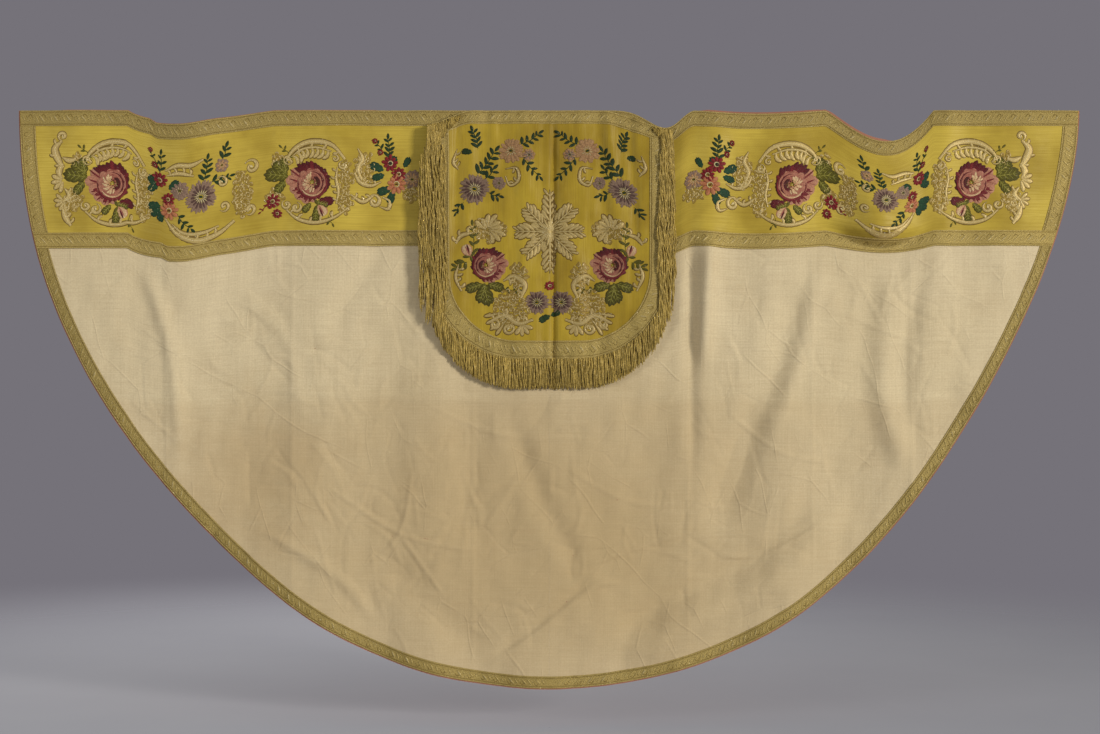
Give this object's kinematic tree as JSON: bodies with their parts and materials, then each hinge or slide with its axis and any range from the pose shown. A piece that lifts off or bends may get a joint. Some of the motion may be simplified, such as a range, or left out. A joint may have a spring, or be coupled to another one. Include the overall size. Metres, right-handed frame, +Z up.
{
  "type": "cope with fringed hood",
  "caption": "Semicircular church cope laid out flat, with a flowered orphrey band, galloon braid, a fringed hood that lifts and two fronts that fold round the wearer.",
  "frame": {"origin": "middle of the straight neck edge, on the rear plane of the cloak, at the level of the pinned top edge", "axes": "+X along the straight edge towards the viewer's right, +Z up, decorated face looks along -Y"},
  "size_m": [2.592, 0.057, 1.411],
  "materials": {
    "lining_twill": "salmon cotton twill, matt",
    "body_linen": "aged cream plain-weave cloth, slightly slubbed and stained",
    "stiffening_canvas": "coarse unbleached canvas",
    "yellow_silk": "ribbed golden yellow silk with brocaded flowers, low sheen",
    "gold_galloon": "woven metal-thread braid, dull gold with bright glints",
    "gold_fringe": "twisted metal-thread fringe, dull gold",
    "sewing_thread": "waxed linen thread",
    "brass_wire": "aged drawn wire"
  },
  "bodies": {
    "back": {"lining_back": "lining_twill", "body_cloth_back": "body_linen", "orphrey_canvas_back": "stiffening_canvas", "orphrey_silk_back_left": "yellow_silk", "orphrey_silk_back_right": "yellow_silk", "top_galloon_back": "gold_galloon", "lower_galloon_back": "gold_galloon", "hem_galloon_back": "gold_galloon", "hood_stitches": "sewing_thread"},
    "left_front": {"lining_left": "lining_twill", "body_cloth_left": "body_linen", "orphrey_canvas_left": "stiffening_canvas", "orphrey_silk_left": "yellow_silk", "top_galloon_left": "gold_galloon", "lower_galloon_left": "gold_galloon", "end_galloon_left": "gold_galloon", "hem_galloon_left": "gold_galloon", "clasp_eyes": "brass_wire"},
    "right_front": {"lining_right": "lining_twill", "body_cloth_right": "body_linen", "orphrey_canvas_right": "stiffening_canvas", "orphrey_silk_right": "yellow_silk", "top_galloon_right": "gold_galloon", "lower_galloon_right": "gold_galloon", "end_galloon_right": "gold_galloon", "hem_galloon_right": "gold_galloon"},
    "hood": {"hood_lining": "lining_twill", "hood_buckram": "stiffening_canvas", "hood_silk_left": "yellow_silk", "hood_silk_right": "yellow_silk", "hood_top_galloon": "gold_galloon", "hood_border_galloon": "gold_galloon", "fringe_heading": "gold_fringe", "side_fringe_left": "gold_fringe", "side_fringe_right": "gold_fringe"},
    "fringe": {"bottom_fringe": "gold_fringe"},
    "clasp": {"clasp_tab": "yellow_silk", "clasp_hooks": "brass_wire"}
  },
  "joints": [
    {"name": "left_front_fold", "type": "hinge", "parent": "back", "child": "left_front", "pos_m": [-0.335, 0, 0], "axis": [0, 0, -1], "range_deg": [0, 105]},
    {"name": "right_front_fold", "type": "hinge", "parent": "back", "child": "right_front", "pos_m": [0.335, 0, 0], "axis": [0, 0, 1], "range_deg": [0, 105]},
    {"name": "hood_lift", "type": "hinge", "parent": "back", "child": "hood", "pos_m": [0, -0.0148, -0.0015], "axis": [-1, 0, 0], "range_deg": [0, 150]},
    {"name": "fringe_swing", "type": "hinge", "parent": "hood", "child": "fringe", "pos_m": [0, -0.0272, -0.6112], "axis": [-1, 0, 0], "range_deg": [0, 75]},
    {"name": "clasp_turn", "type": "hinge", "parent": "right_front", "child": "clasp", "pos_m": [0.49, -0.0011, -0.0115], "axis": [1, 0, 0], "range_deg": [0, 170]}
  ]
}
